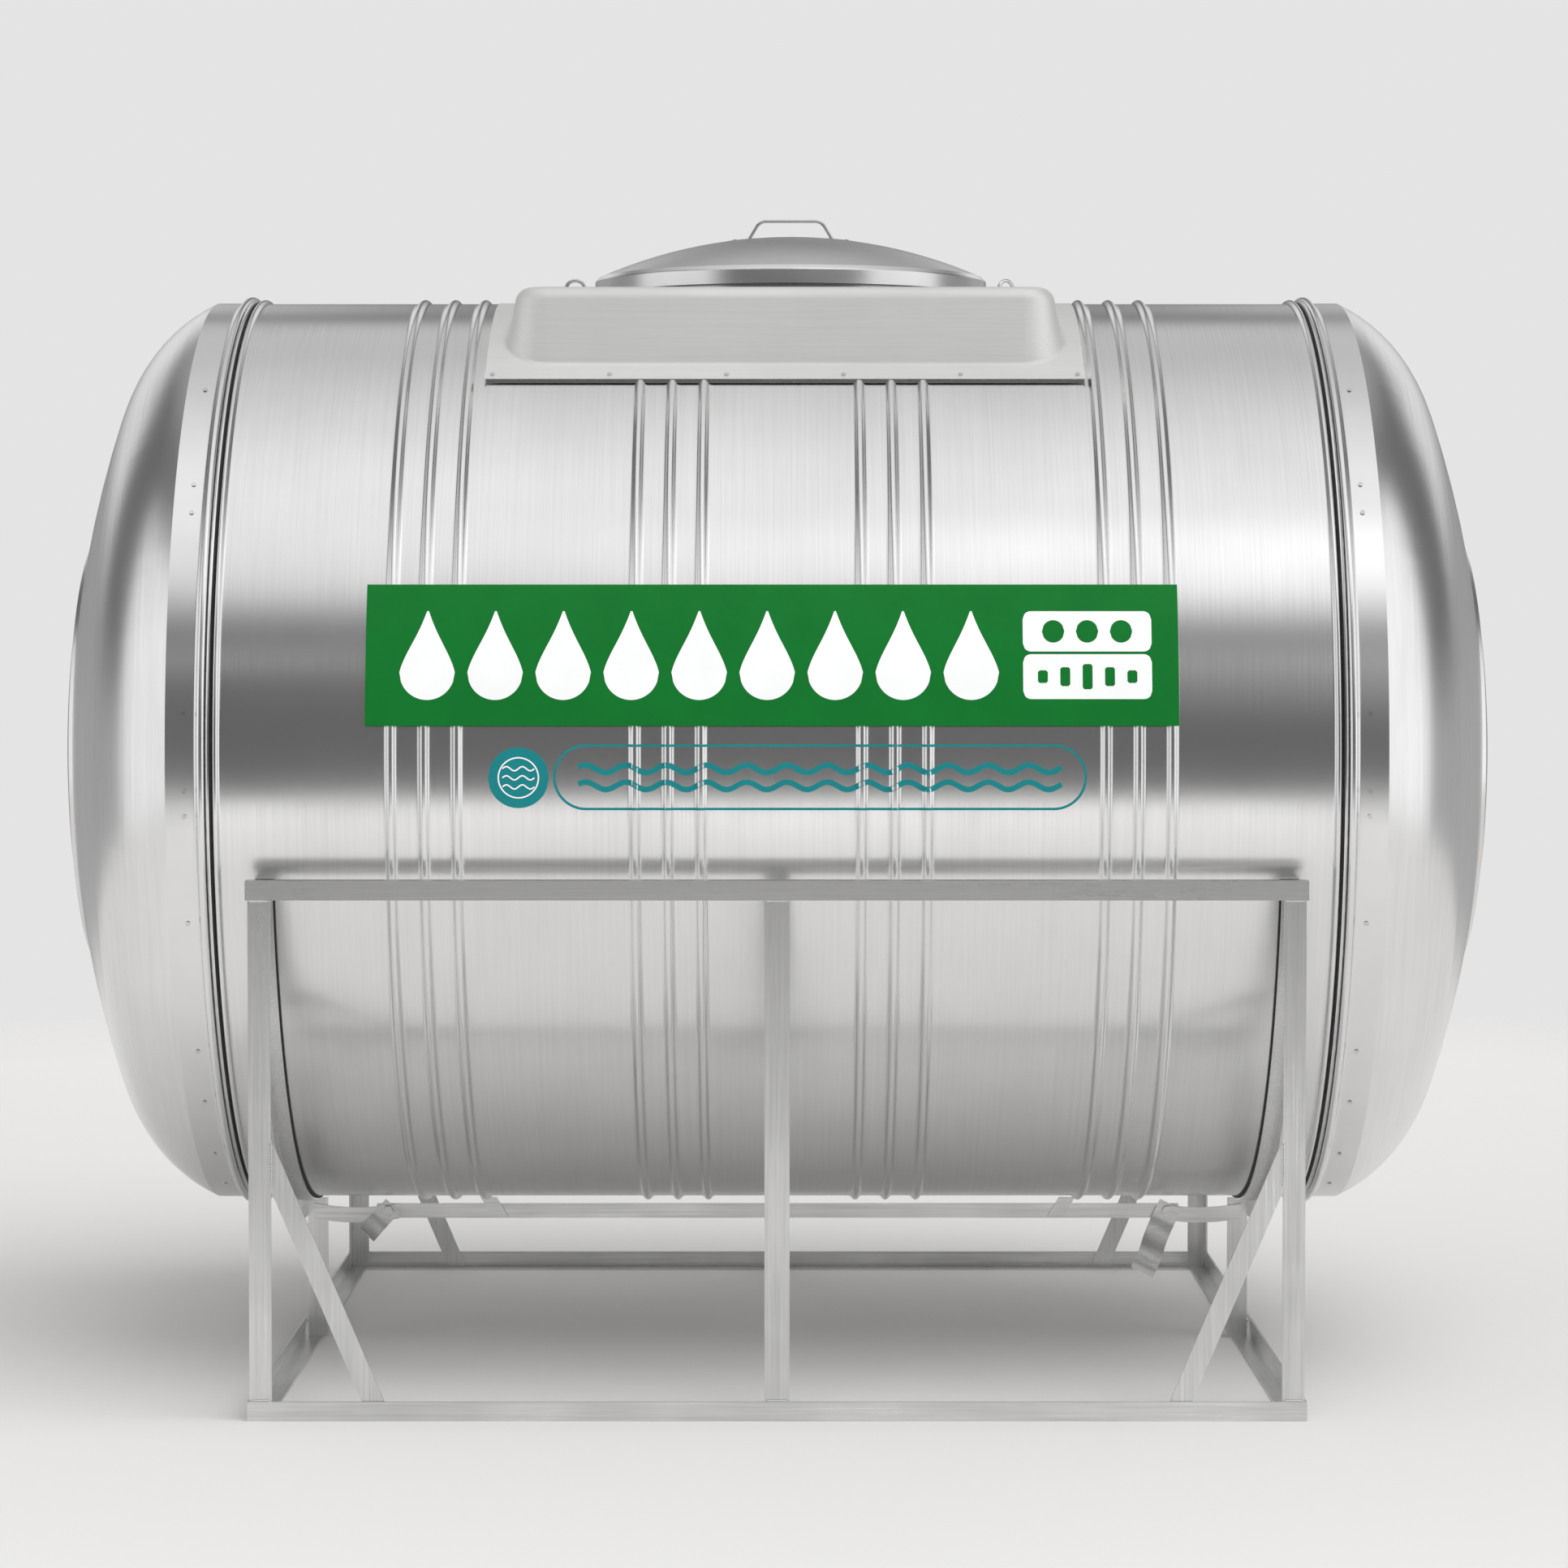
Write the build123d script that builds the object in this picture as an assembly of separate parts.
from build123d import *
import os
from math import asin, cos, degrees, hypot, radians, sin, sqrt, tan

os.makedirs("parts", exist_ok=True)

# A horizontal stainless water tank on its stand. X runs along the tank, +Y to its back, Z up from the floor.
# Every size is in millimetres and every angle in degrees.

# Tank body
tank_radius = 550.0  # outside of the plain shell
belly_height = 181.0  # floor to the lowest line of the plain shell
sheet = 0.8  # wall of the shell and heads
lap_gap = 0.1  # play between curved sheets that lap
shell_lap = 40.0  # how far the shell runs inside each head

bead_width = 17.0
bead_height = 5.0
bead_pitch = 37.0  # between neighbouring beads of a group
bead_knee = 0.53  # share of a bead's half width that its waist and its flat crest reach
bead_crest = 0.2
bead_centre_x = 5.0  # middle of the four groups of three beads
inner_group_x = 127.0  # from there to the middle of each inner group
outer_group_x = 400.0
stop_bead_width = 12.0  # the single bead that each head butts up to
stop_bead_height = 5.0
stop_bead_gap = 1.0  # open groove between that bead and the head

head_start_x = 635.0  # open edge of each head, from the middle of the tank
curl_width = 18.0  # rolled stiffening curl at that edge
curl_height = 7.5
skirt_length = 49.0  # open edge to the crease where the dish starts
crease_angle = 25.0
knuckle_radius = 190.0
crown_angle = 20.0  # half the angle that the crown covers, seen from its centre
disc_radius = 265.0  # raised disc in the middle of each head
disc_step = 4.0

rivet_radius = 2.8
rivet_height = 1.2
head_rivet_inset = 28.0  # from the open edge of the head
head_rivet_angles = (51, 35, 31, 6, -3, -6, -19, -37, -46, -58, -69)  # above the horizontal, front and back

# Saddle plate and manhole
saddle_x = 9.0  # middle of the plate
manhole_x = 16.0  # middle of the neck and lid
plate_sheet = 1.0
flange_half_length = 349.0
flange_half_width = 337.0
lip_width = 12.5  # long edges of the plate, set up to ride over the beads
flange_clear = 1.0  # between the step of that lip and the edge of the shell's window
boss_end_margin = 34.0  # from the boss's flat top, taken to its corners, out to the ends of the flange
boss_side_margin = 52.0  # and out to its long edges
boss_rise = 2.0  # flat top above the flange's highest line
boss_taper = 11.0
boss_corner = 34.0
boss_edge = 18.0  # rounding of the top edge
boss_root = 8.0  # rounding where the long walls meet the flange
window_border = 24.0  # shell left standing inside the ends of the boss
saddle_rivet_inset = 9.0  # from the ends of the plate
saddle_rivets_per_side = 6

neck_radius = 225.0
neck_sheet = 1.5
neck_height = 24.0  # above the boss
gasket_lip = 4.0  # rubber on each side of the neck's edge
gasket_grip = 6.0  # how far the edging reaches down the neck

lid_radius = 241.0
lid_sheet = 1.0
lid_rim_gap = 7.0  # boss to the lower edge of the rim
lid_rim_height = 22.0
lid_rim_round = 5.0
lid_rise = 50.0  # dome above the rim
lid_seat_gap = 0.3  # lid to gasket, at rest

handle_wire = 4.0
handle_foot_x = 52.0  # from the lid's centre
handle_bar_x = 38.0
handle_height = 21.0  # wire's centre above the top of the dome
handle_bend = 14.0
handle_pad_length = 34.0
handle_pad_width = 15.0
handle_pad_sheet = 1.5
handle_rivet_x = 69.0

eye_wire = 4.5
eye_offset_x = 266.0  # from the lid's centre
eye_width = 24.0  # between wire centres
eye_height = 27.0
eye_flat = 0.24  # half the straight left between the two bends of each eye
eye_turns = {"left_eye": 0.0, "right_eye": 40.0}

# Pipe sockets: distance along X, angle above the horizontal at the back, bore radius, wall
sockets = {
    "inlet_socket": (-260.0, 50.0, 15.1, 4.0),
    "overflow_socket": (260.0, 50.0, 18.9, 4.0),
    "outlet_socket": (280.0, -40.0, 18.9, 4.0),
    "drain_socket": (-215.0, -72.0, 15.1, 4.0),
}
socket_stand_out = 22.0

# Sticker
label_start_x = -460.0
label_end_x = 449.0
label_low = 44.0  # above the tank's axis
label_high = 202.0
label_thickness = 0.4

# Stand
stand_half_length = 591.0
bar = 2.5  # thickness of every angle and strip
post_leg = 25.0
rail_face = 22.0  # upright leg of the rails and beams
rail_leg = 25.0  # flat leg of the rails and beams
rail_top_below_axis = 127.0
rail_lap = 1.5  # how far the cradle's ends tuck under the top rails
centre_post_width = 28.0
pad_thickness = 3.0
pad_overhang = 2.0
cradle_width = 20.0
cradle_leg = 25.0  # upright leg of the rolled angle, measured out from the pad
brace_width = 23.0
brace_top = 316.0  # where its upper edge meets the post
brace_foot_x = 430.0  # where its inner edge meets the floor flange

belly_rail_gap = 60.5  # open between the rail's ends and the side posts
belly_rail_low = 150.0
belly_rail_height = 18.0
strut_foot_x = 345.0
strut_top_x = 362.0
strut_width = 20.0
tie_post_lap = 17.0  # strap end on the side post
tie_rail_lap = 28.0  # strap end on the belly rail
tie_height = 19.0
tie_sag = 5.0
tail_sheet = 1.5
tie_bolt_inset = 14.0  # from the rail's end
tails = {  # width, slope of the tail, then the radius and turn of each curl
    "left_tie_strap": (24.0, 228.0, ((34.0, 55.0),)),
    "right_tie_strap": (30.0, 244.0, ((42.0, 60.0), (34.0, -66.0))),
}
bolt_radius = 4.0
bolt_clearance = 0.4
bolt_head_width = 13.0  # across the flats
bolt_head_height = 5.3
bolt_cut = 100.0  # length of the cut that makes each bolt's hole through tail, strap and rail

# Sizes that follow
axis_z = belly_height + tank_radius
boss_half_length = flange_half_length - boss_end_margin
boss_half_width = flange_half_width - boss_side_margin
skirt_radius = tank_radius + lap_gap + sheet
flange_radius = tank_radius + lap_gap + plate_sheet
lip_radius = tank_radius + bead_height + lap_gap + plate_sheet
boss_top = axis_z + flange_radius + boss_rise
neck_top = boss_top + neck_height
rim_low = boss_top + lid_rim_gap
rim_top = rim_low + lid_rim_height
dome_base = lid_radius - lid_rim_round
dome_radius = (dome_base**2 + lid_rise**2) / (2 * lid_rise)
dome_top = rim_top + lid_rise
dome_centre = (manhole_x, 0, dome_top - dome_radius)
cradle_inner = tank_radius + lap_gap + pad_thickness + lap_gap
cradle_outer = cradle_inner + cradle_leg
rail_top = axis_z - rail_top_below_axis
rail_under = rail_top - bar
stand_half_width = sqrt(cradle_outer**2 - (axis_z - rail_under) ** 2) - rail_lap + rail_leg
cradle_face_x = stand_half_length - 2 * bar  # outer face of the cradle, against the posts' side legs
post_edge_x = stand_half_length - bar - post_leg
bead_crown = tank_radius + bead_height
side_post_face = -post_leg / 2  # its front face, which the belly rail lines up with
side_post_x = cradle_face_x - bar - post_leg  # its inner edge
belly_rail_half_length = side_post_x - belly_rail_gap
tie_bolt_x = belly_rail_half_length - tie_bolt_inset
tie_bolt_z = belly_rail_low + belly_rail_height / 2


def block(x0, x1, y0, y1, z0, z1):
    """Box between two limits on each axis."""
    return Pos((x0 + x1) / 2, (y0 + y1) / 2, (z0 + z1) / 2) * Box(abs(x1 - x0), abs(y1 - y0), abs(z1 - z0))


def drum(radius, x0, x1):
    """Solid cylinder about the tank's axis."""
    return Pos((x0 + x1) / 2, 0, axis_z) * Cylinder(radius, abs(x1 - x0), rotation=(0, 90, 0))


def ring(inner, outer, x0, x1):
    """Tube about the tank's axis."""
    return drum(outer, x0, x1) - drum(inner, x0, x1)


def turned(outline, thickness):
    """Sheet turned about the tank's axis from outline(depth), drawn in the XZ plane with Z as the radius."""
    outer, inner = outline(0), outline(thickness)
    ends = [Line(outer[0] @ 0, inner[0] @ 0), Line(outer[-1] @ 1, inner[-1] @ 1)]
    return Pos(0, 0, axis_z) * revolve(make_face(outer + inner + ends), Axis.X)


def bead_arcs(x, radius, width, height, depth):
    """Three tangent arcs of one bead, at a depth below the outer face."""
    half = width / 2
    bend = (half**2 + height**2) / (4 * height)
    lean = Vector(half, 0, height - 2 * bend) / (2 * bend)
    flare_centre = Vector(x - half, 0, radius + bend)
    flare = bend + depth

    def other_side(point):
        return Vector(2 * x - point.X, 0, point.Z)

    start = flare_centre - Vector(0, 0, flare)
    middle = flare_centre + (lean - Vector(0, 0, 1)).normalized() * flare
    join = flare_centre + lean * flare
    crown = Vector(x, 0, radius + height - depth)
    return [
        ThreePointArc(start, middle, join),
        ThreePointArc(join, crown, other_side(join)),
        ThreePointArc(other_side(join), other_side(middle), other_side(start)),
    ]


def bead_flats(x, radius, width, height, depth):
    """Straight lines of one bead pressed in five flats, at a depth below the outer face."""
    half, low = width / 2, radius - depth
    side = [(half, low), (half * bead_knee, low + height / 2), (half * bead_crest, low + height)]
    points = [(x - out, 0, z) for out, z in side] + [(x + out, 0, z) for out, z in reversed(side)]
    return [Line(first, second) for first, second in zip(points, points[1:])]


def shell_beads():
    """Middle, width and height of each bead, from left to right."""
    stop_x = head_start_x - stop_bead_gap - stop_bead_width / 2
    beads = [(side * stop_x, stop_bead_width, stop_bead_height) for side in (-1, 1)]
    for group in (-outer_group_x, -inner_group_x, inner_group_x, outer_group_x):
        middle = bead_centre_x + group
        beads += [(middle + step * bead_pitch, bead_width, bead_height) for step in (-1, 0, 1)]
    return sorted(beads)


def shell_outline(depth):
    """Edges of the shell's section, from left to right."""
    end = head_start_x + shell_lap
    radius = tank_radius - depth
    edges, x = [], -end
    for middle, width, height in shell_beads():
        edges.append(Line((x, 0, radius), (middle - width / 2, 0, radius)))
        edges += bead_flats(middle, tank_radius, width, height, depth)
        x = middle + width / 2
    return edges + [Line((x, 0, radius), (end, 0, radius))]


def head_outline(depth):
    """Edges of the right head's section, from its open edge to the axis."""
    crease_x = head_start_x + skirt_length
    skirt = skirt_radius - depth
    knuckle = knuckle_radius - depth
    centre = Vector(crease_x - knuckle_radius * sin(radians(crease_angle)), 0,
                    skirt_radius - knuckle_radius * cos(radians(crease_angle)))
    start = degrees(asin(sqrt(1 - ((skirt - centre.Z) / knuckle) ** 2)))
    finish = 90 - crown_angle
    crown_radius = knuckle_radius + centre.Z / cos(radians(finish))
    crown_x = centre.X - (crown_radius - knuckle_radius) * sin(radians(finish))

    def on_knuckle(angle):
        return centre + Vector(sin(radians(angle)), 0, cos(radians(angle))) * knuckle

    def on_crown(angle, step):
        reach = crown_radius + step - depth
        return Vector(crown_x, 0, 0) + Vector(cos(radians(angle)), 0, sin(radians(angle))) * reach

    step_angle = degrees(asin((disc_radius + disc_step) / crown_radius))
    disc_angle = degrees(asin(disc_radius / crown_radius))
    step_foot, step_head = on_crown(step_angle, 0), on_crown(disc_angle, disc_step)
    curl_x = head_start_x + curl_width / 2
    return [
        *bead_arcs(curl_x, skirt_radius, curl_width, curl_height, depth),
        Line((head_start_x + curl_width, 0, skirt), on_knuckle(start)),
        ThreePointArc(on_knuckle(start), on_knuckle((start + finish) / 2), on_knuckle(finish)),
        ThreePointArc(on_knuckle(finish), on_crown((crown_angle + step_angle) / 2, 0), step_foot),
        Line(step_foot, step_head),
        ThreePointArc(step_head, on_crown(disc_angle / 2, disc_step), on_crown(0, disc_step)),
    ]


def radial(x, angle):
    """Frame on the tank's axis whose Z points out at an angle above the horizontal, towards the back."""
    out = (0, cos(radians(angle)), sin(radians(angle)))
    return Location(Plane(origin=(x, 0, axis_z), x_dir=(1, 0, 0), z_dir=out))


def stud(place, radius, low, high):
    """Cylinder along a frame's Z, between two distances from its origin."""
    return place * Pos(0, 0, (low + high) / 2) * Cylinder(radius, high - low)


def build_shell():
    window_x = boss_half_length - window_border
    window_y = flange_half_width - lip_width + flange_clear
    shell = turned(shell_outline, sheet)
    top = axis_z + 2 * tank_radius
    shell -= block(saddle_x - window_x, saddle_x + window_x, -window_y, window_y, axis_z, top)
    for x, angle, bore, wall in sockets.values():
        shell -= stud(radial(x, angle), bore + wall / 2, tank_radius / 2, tank_radius * 1.5)
    return shell


def build_head(side):
    head = turned(head_outline, sheet)
    return head if side > 0 else mirror(head, Plane.YZ)


def build_head_rivets(side):
    x = side * (head_start_x + head_rivet_inset)
    rivets = Part()
    for angle in head_rivet_angles:
        for turned_angle in (angle, 180 - angle):
            rivets += stud(radial(x, turned_angle), rivet_radius, tank_radius, skirt_radius + rivet_height)
    return rivets - drum(skirt_radius, x - skirt_length, x + skirt_length)


def boss(inset):
    """The pressed box of the saddle plate, smaller all round by an inset."""
    foot_z = axis_z + sqrt(flange_radius**2 - flange_half_width**2)
    top = boss_top - inset
    length, width = 2 * (boss_half_length - inset), 2 * (boss_half_width - inset)
    plan = RectangleRounded(length, width, boss_corner - inset)
    walls = extrude(Pos(saddle_x, 0, top) * plan, foot_z - top, taper=-boss_taper)
    return fillet(walls.faces().sort_by(Axis.Z)[-1].edges(), boss_edge - inset)


def build_saddle_plate():
    left, right = saddle_x - flange_half_length, saddle_x + flange_half_length
    top = axis_z + 2 * tank_radius
    step_y = flange_half_width - lip_width
    flange = ring(flange_radius - plate_sheet, lip_radius, left, right)
    flange &= block(left, right, -flange_half_width, flange_half_width, axis_z, top)
    flat = ring(flange_radius, 2 * tank_radius, left, right)
    flange -= flat & block(left, right, plate_sheet - step_y, step_y - plate_sheet, axis_z, top)
    flange -= drum(lip_radius - plate_sheet, left, right) - block(left, right, -step_y, step_y, axis_z, top)
    plate = boss(0) - drum(flange_radius - plate_sheet / 2, left, right) + flange
    inside = step_y - 2 * plate_sheet
    roots = plate.edges().filter_by(Axis.X).filter_by_position(Axis.Y, -inside, inside)
    roots = roots.filter_by_position(Axis.Z, axis_z, boss_top - boss_edge)
    plate = fillet(roots, boss_root)
    plate -= boss(plate_sheet)
    return plate - stud(Location((manhole_x, 0, 0)), neck_radius + lap_gap, axis_z, boss_top + plate_sheet)


def build_saddle_rivets():
    """Rivets along the two long edges of the plate."""
    rivets = Part()
    reach = flange_half_length - saddle_rivet_inset
    angle = 90 - degrees(asin((flange_half_width - lip_width / 2) / lip_radius))
    for index in range(saddle_rivets_per_side):
        x = saddle_x - reach + 2 * reach * index / (saddle_rivets_per_side - 1)
        for turned_angle in (angle, 180 - angle):
            rivets += stud(radial(x, turned_angle), rivet_radius, tank_radius, lip_radius + rivet_height)
    return rivets - drum(lip_radius, saddle_x - flange_half_length, saddle_x + flange_half_length)


def collar(inner, outer, low, high):
    """Upright ring about the manhole."""
    place = Location((manhole_x, 0, 0))
    return stud(place, outer, low, high) - stud(place, inner, low, high)


def build_neck():
    return collar(neck_radius - neck_sheet, neck_radius, boss_top - plate_sheet, neck_top)


def build_gasket():
    """Edging whose outer top corner comes just short of the dome."""
    outer = neck_radius + gasket_lip
    top = dome_centre[2] + sqrt((dome_radius - lid_sheet - lid_seat_gap) ** 2 - outer**2)
    edging = collar(neck_radius - neck_sheet - gasket_lip, outer, neck_top - gasket_grip, top)
    return edging - collar(neck_radius - neck_sheet, neck_radius, neck_top - gasket_grip, neck_top)


def lid_solid(inset):
    """Lid filled down to its rim, smaller all round by an inset."""
    base = dome_base - inset * dome_base / dome_radius
    shoulder = dome_centre[2] + sqrt((dome_radius - inset) ** 2 - base**2)
    side = lid_radius - inset
    start, top = (side, 0, shoulder - lid_rim_round), (0, 0, dome_top - inset)
    half = asin(base / dome_radius) / 2
    on_dome = (sin(half) * (dome_radius - inset), 0, dome_centre[2] + cos(half) * (dome_radius - inset))
    section = make_face([
        Line((0, 0, rim_low), (side, 0, rim_low)),
        Line((side, 0, rim_low), start),
        Line(start, (base, 0, shoulder)),
        ThreePointArc((base, 0, shoulder), on_dome, top),
        Line(top, (0, 0, rim_low)),
    ])
    return Pos(manhole_x, 0, 0) * revolve(section, Axis.Z)


def build_lid():
    shoulder = lid_solid(0)
    rim = shoulder.edges().filter_by(GeomType.CIRCLE).sort_by(Axis.Z)[1:2]
    return fillet(rim, lid_rim_round / 2) - lid_solid(lid_sheet)


def dome_ball(offset):
    return Pos(*dome_centre) * Sphere(dome_radius + offset)


def build_handle_pads():
    pads = Part()
    for side in (-1, 1):
        middle = manhole_x + side * (handle_foot_x + handle_pad_length / 4)
        half, side_edge = handle_pad_length / 2, handle_pad_width / 2
        pads += block(middle - half, middle + half, -side_edge, side_edge, rim_top, dome_top)
    return (pads & dome_ball(lap_gap + handle_pad_sheet)) - dome_ball(lap_gap)


def build_handle_rivets():
    rivets = Part()
    for side in (-1, 1):
        x = side * handle_rivet_x
        tilt = degrees(asin(x / dome_radius))
        place = Location(dome_centre) * Rot(0, tilt, 0)
        top = dome_radius + lap_gap + handle_pad_sheet + rivet_height
        rivets += stud(place, rivet_radius, dome_radius, top)
    return rivets - dome_ball(lap_gap + handle_pad_sheet)


def build_lid_handle():
    bar_z = dome_top + handle_height
    foot_z = dome_centre[2] + sqrt(dome_radius**2 - handle_foot_x**2)
    lean = (handle_foot_x - handle_bar_x) / (bar_z - foot_z)
    low = foot_z - handle_wire
    foot = handle_foot_x + lean * handle_wire
    corners = [(-foot, 0, low), (-handle_bar_x, 0, bar_z), (handle_bar_x, 0, bar_z), (foot, 0, low)]
    path = Pos(manhole_x, 0, 0) * FilletPolyline(*corners, radius=handle_bend)
    wire = sweep(Plane(path @ 0, z_dir=path % 0) * Circle(handle_wire / 2), path)
    return wire - dome_ball(lap_gap + handle_pad_sheet)


def build_eye(side, turn):
    half = eye_width / 2
    corners = [(-half, 0, 0), (-half, 0, eye_height), (half, 0, eye_height), (half, 0, 0)]
    path = FilletPolyline(*corners, radius=half - eye_flat)
    loop = sweep(Plane(path @ 0, z_dir=path % 0) * Circle(eye_wire / 2), path)
    return Pos(manhole_x + side * eye_offset_x, 0, boss_top) * Rot(0, 0, turn) * loop


def build_socket(x, angle, bore, wall):
    """Pipe socket standing on the shell, whose hole comes halfway under its wall."""
    low, high = tank_radius + lap_gap, tank_radius + socket_stand_out
    body = stud(radial(x, angle), bore + wall, low, high)
    rim = body.edges().filter_by(GeomType.CIRCLE).sort_by(lambda edge: edge.center().Y)[-1:]
    return chamfer(rim, wall / 4) - stud(radial(x, angle), bore, low, high)


def build_label():
    skin = ring(bead_crown + lap_gap, bead_crown + lap_gap + label_thickness, label_start_x, label_end_x)
    low, high = axis_z + label_low, axis_z + label_high
    return skin & block(label_start_x, label_end_x, -2 * tank_radius, 0, low, high)


def build_top_rail(side):
    """Angle with its flat leg on top, side -1 at the front and 1 at the back."""
    face, inner = side * stand_half_width, side * (stand_half_width - bar)
    upright = block(-stand_half_length, stand_half_length, face, inner, rail_top - rail_face, rail_top)
    edge = side * (stand_half_width - rail_leg)
    return upright + block(-stand_half_length, stand_half_length, inner, edge, rail_under, rail_top)


def build_bottom_beam(side):
    face, inner = side * stand_half_width, side * (stand_half_width - bar)
    upright = block(-stand_half_length, stand_half_length, face, inner, 0, rail_face)
    reach = stand_half_length - bar
    return upright + block(-reach, reach, inner, side * (stand_half_width - rail_leg), 0, bar)


def build_side_beam(side):
    outer, inner = side * stand_half_length, side * (stand_half_length - bar)
    upright_reach, flat_reach = stand_half_width - bar, stand_half_width - rail_leg
    upright = block(outer, inner, -upright_reach, upright_reach, 0, rail_face)
    return upright + block(inner, side * (stand_half_length - rail_leg), -flat_reach, flat_reach, 0, bar)


def build_corner_post(side_x, side_y):
    """Angle nested in the corner between the beams and under the top rail."""
    corner_x, corner_y = side_x * (stand_half_length - bar), side_y * (stand_half_width - bar)
    front = block(corner_x, side_x * post_edge_x, corner_y, corner_y - side_y * bar, bar, rail_under)
    back_y = corner_y - side_y * post_leg
    return front + block(corner_x, corner_x - side_x * bar, corner_y, back_y, bar, rail_under)


def build_centre_post(side):
    half = centre_post_width / 2
    face = side * (stand_half_width - bar)
    front = block(-half, half, face, face - side * bar, bar, rail_under)
    return front + block(half - bar, half, face, face - side * (rail_leg - bar), bar, rail_under)


def build_side_post(side):
    """Short angle from the side beam up to the lowest line of the cradle."""
    outer = side * (cradle_face_x - bar)
    top = axis_z - cradle_inner - bar
    half = post_leg / 2
    upright = block(outer, outer - side * bar, -half, half, bar, top)
    return upright + block(outer, outer - side * post_leg, side_post_face, side_post_face + bar, bar, top)


def under_rails(solid):
    """The part of a hoop that lies below the top rails' flat legs."""
    above = block(-2 * stand_half_length, 2 * stand_half_length, -2 * tank_radius, 2 * tank_radius,
                  rail_under, axis_z + 2 * tank_radius)
    return solid - above


def build_cradle(side):
    outer, inner = side * cradle_face_x, side * (cradle_face_x - cradle_width)
    flat = ring(cradle_inner, cradle_inner + bar, outer, inner)
    upright = ring(cradle_inner, cradle_outer, outer, outer - side * bar)
    return under_rails(flat + upright)


def build_cradle_pad(side):
    outer, inner = side * cradle_face_x, side * (cradle_face_x - cradle_width - pad_overhang)
    return under_rails(ring(tank_radius + lap_gap, cradle_inner - lap_gap, outer, inner))


def build_brace(side_x, side_y):
    """Flat strip in the plane of the post's front leg, from its edge down to the beam's floor flange."""
    run, rise = post_edge_x - brace_foot_x, brace_top - bar
    slope = run / rise
    width_x = brace_width * hypot(run, rise) / rise
    drop = width_x / slope
    corners = [(post_edge_x, brace_top), (brace_foot_x, bar), (brace_foot_x + width_x, bar),
               (post_edge_x, brace_top - drop)]
    outline = make_face(Polyline(*[(side_x * x, 0, z) for x, z in corners], close=True))
    face = side_y * (stand_half_width - bar)
    return Pos(0, face, 0) * extrude(outline, bar, dir=(0, -side_y, 0))


def build_belly_rail():
    """Light angle under the tank, its upright leg in line with the side posts' front legs."""
    reach, low = belly_rail_half_length, belly_rail_low
    upright = block(-reach, reach, side_post_face, side_post_face + bar, low, low + belly_rail_height)
    rail = upright + block(-reach, reach, side_post_face, side_post_face + belly_rail_height, low, low + bar)
    for side in (-1, 1):
        rail -= bolt_hole(side)
    return rail


def bolt_hole(side):
    hole = Cylinder(bolt_radius + bolt_clearance, bolt_cut, rotation=(90, 0, 0))
    return Pos(side * tie_bolt_x, side_post_face, tie_bolt_z) * hole


def build_rail_struts():
    """Two flat hangers from the rail's front face up to the belly's lowest beads."""
    struts = Part()
    half = strut_width / 2
    for side in (-1, 1):
        corners = [(strut_foot_x - half, belly_rail_low + bar), (strut_foot_x + half, belly_rail_low + bar),
                   (strut_top_x + half, belly_height), (strut_top_x - half, belly_height)]
        outline = make_face(Polyline(*[(side * x, side_post_face, z) for x, z in corners], close=True))
        struts += extrude(outline, bar, dir=(0, -1, 0))
    return struts - drum(bead_crown + lap_gap, -stand_half_length, stand_half_length)


def curl(radius, turn, width):
    """Strip bent to an arc from the origin along X, towards +Y or, for a negative turn, -Y; and its end."""
    bend = 1 if turn > 0 else -1
    inner, outer = radius - tail_sheet / 2, radius + tail_sheet / 2

    def at(reach, angle):
        return Vector(sin(radians(angle)) * reach, bend * (radius - cos(radians(angle)) * reach), 0)

    size = abs(turn)
    section = make_face([
        ThreePointArc(at(inner, 0), at(inner, size / 2), at(inner, size)),
        Line(at(inner, size), at(outer, size)),
        ThreePointArc(at(outer, size), at(outer, size / 2), at(outer, 0)),
        Line(at(outer, 0), at(inner, 0)),
    ])
    return Pos(0, 0, -width / 2) * extrude(section, width, dir=(0, 0, 1)), at(radius, size)


def build_tie_strap(side, width, slope, curls):
    """Strap along the side post and rail, and its loose tail folded over at the bolt."""
    outer_x = side_post_x + tie_post_lap
    inner_x = belly_rail_half_length - tie_rail_lap
    middle_x = (outer_x + inner_x) / 2
    low, high = tie_bolt_z - tie_height / 2, tie_bolt_z + tie_height / 2
    inner, middle, outer = side * inner_x, side * middle_x, side * outer_x
    edges = [
        Line((inner, 0, low), (inner, 0, high)),
        ThreePointArc((inner, 0, high), (middle, 0, high - tie_sag), (outer, 0, high)),
        Line((outer, 0, high), (outer, 0, low)),
        ThreePointArc((outer, 0, low), (middle, 0, low - tie_sag), (inner, 0, low)),
    ]
    strap = Pos(0, side_post_face, 0) * extrude(make_face(edges), bar, dir=(0, -1, 0))

    run = Vector(cos(radians(slope)), 0, sin(radians(slope)))
    across = Vector(run.Z, 0, -run.X)
    fold_y = side_post_face - bar - tail_sheet / 2
    place = Location(Plane(origin=(side * tie_bolt_x, fold_y, tie_bolt_z), x_dir=run, z_dir=across))
    flat = Box(tie_height, tail_sheet, width)
    strap += place * flat
    place = place * Pos(tie_height / 2, 0, 0)
    for radius, turn in curls:
        strip, end = curl(radius, turn, width)
        strap += place * strip
        place = place * Pos(end.X, end.Y, 0) * Rot(0, 0, turn)
    return strap - bolt_hole(side)


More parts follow.
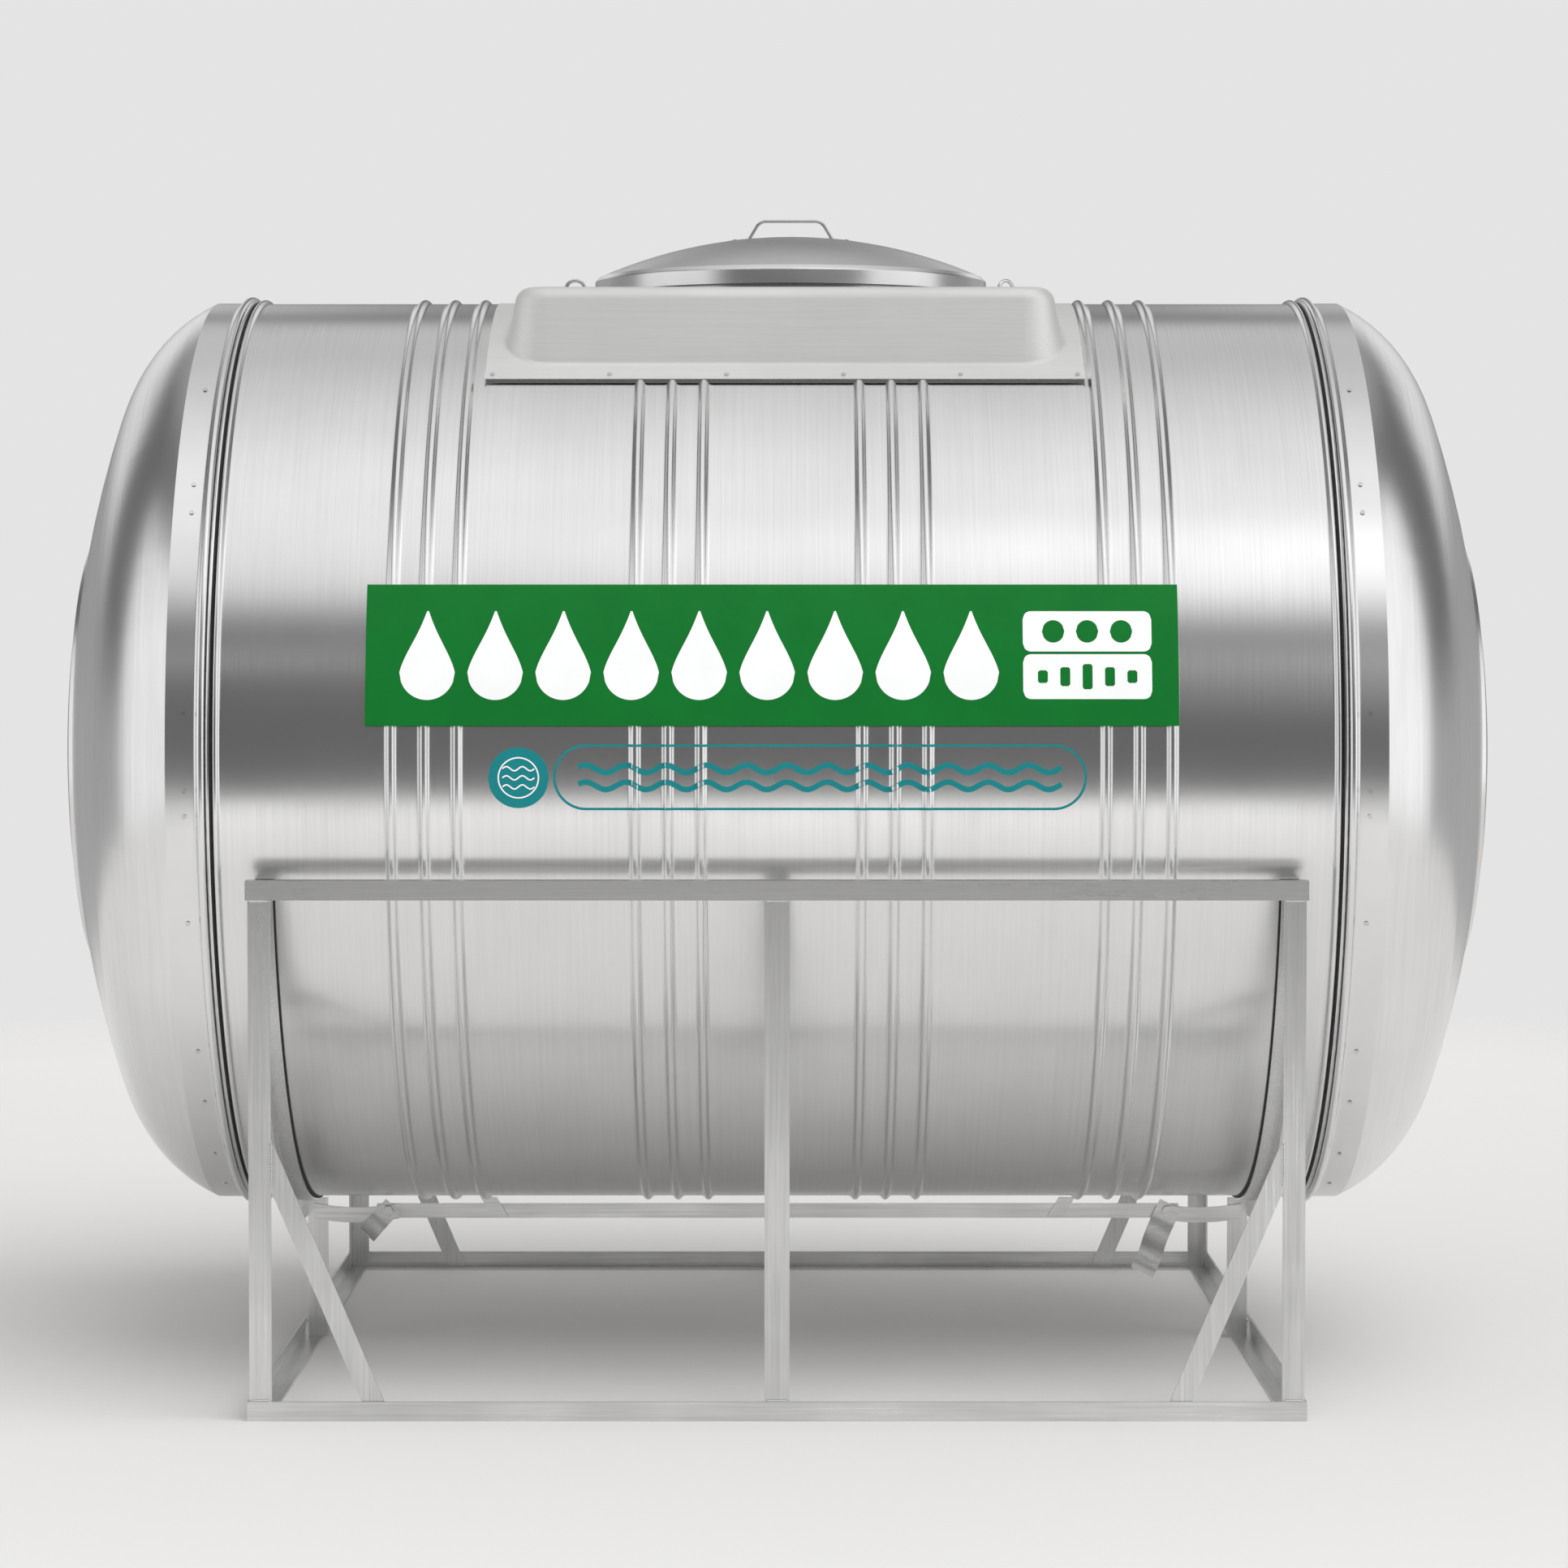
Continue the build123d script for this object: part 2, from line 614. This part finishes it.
def build_tie_bolts():
    """Hex bolt through each strap and the rail, with its nut behind the rail."""
    bolts = Part()
    front = side_post_face - bar - tail_sheet
    back = side_post_face + bar
    hexagon = extrude(RegularPolygon(bolt_head_width / 2, 6, major_radius=False), bolt_head_height)
    for side in (-1, 1):
        shank = Cylinder(bolt_radius, back - front + 2 * bolt_head_height, rotation=(90, 0, 0))
        bolt = Pos(0, (front + back) / 2, 0) * shank
        bolt += Pos(0, front, 0) * Rot(90, 0, 0) * hexagon
        bolt += Pos(0, back + bolt_head_height, 0) * Rot(90, 0, 0) * hexagon
        bolts += Pos(side * tie_bolt_x, 0, tie_bolt_z) * bolt
    return bolts


parts = {
    "shell": build_shell(),
    "saddle_plate": build_saddle_plate(),
    "saddle_rivets": build_saddle_rivets(),
    "manhole_neck": build_neck(),
    "neck_gasket": build_gasket(),
    "lid": build_lid(),
    "lid_handle": build_lid_handle(),
    "handle_pads": build_handle_pads(),
    "handle_rivets": build_handle_rivets(),
    "label": build_label(),
    "belly_rail": build_belly_rail(),
    "rail_struts": build_rail_struts(),
    "tie_bolts": build_tie_bolts(),
}
for name, (x, angle, bore, wall) in sockets.items():
    parts[name] = build_socket(x, angle, bore, wall)
for side, end in ((-1, "left"), (1, "right")):
    parts[f"{end}_head"] = build_head(side)
    parts[f"{end}_head_rivets"] = build_head_rivets(side)
    parts[f"{end}_eye"] = build_eye(side, eye_turns[f"{end}_eye"])
    parts[f"{end}_side_beam"] = build_side_beam(side)
    parts[f"{end}_side_post"] = build_side_post(side)
    parts[f"{end}_cradle"] = build_cradle(side)
    parts[f"{end}_cradle_pad"] = build_cradle_pad(side)
    parts[f"{end}_tie_strap"] = build_tie_strap(side, *tails[f"{end}_tie_strap"])
for side_y, face in ((-1, "front"), (1, "back")):
    parts[f"{face}_top_rail"] = build_top_rail(side_y)
    parts[f"{face}_bottom_beam"] = build_bottom_beam(side_y)
    parts[f"{face}_centre_post"] = build_centre_post(side_y)
    for side_x, end in ((-1, "left"), (1, "right")):
        parts[f"{face}_{end}_post"] = build_corner_post(side_x, side_y)
        parts[f"{face}_{end}_brace"] = build_brace(side_x, side_y)

for name, part in parts.items():
    export_step(part, f"parts/{name}.step")
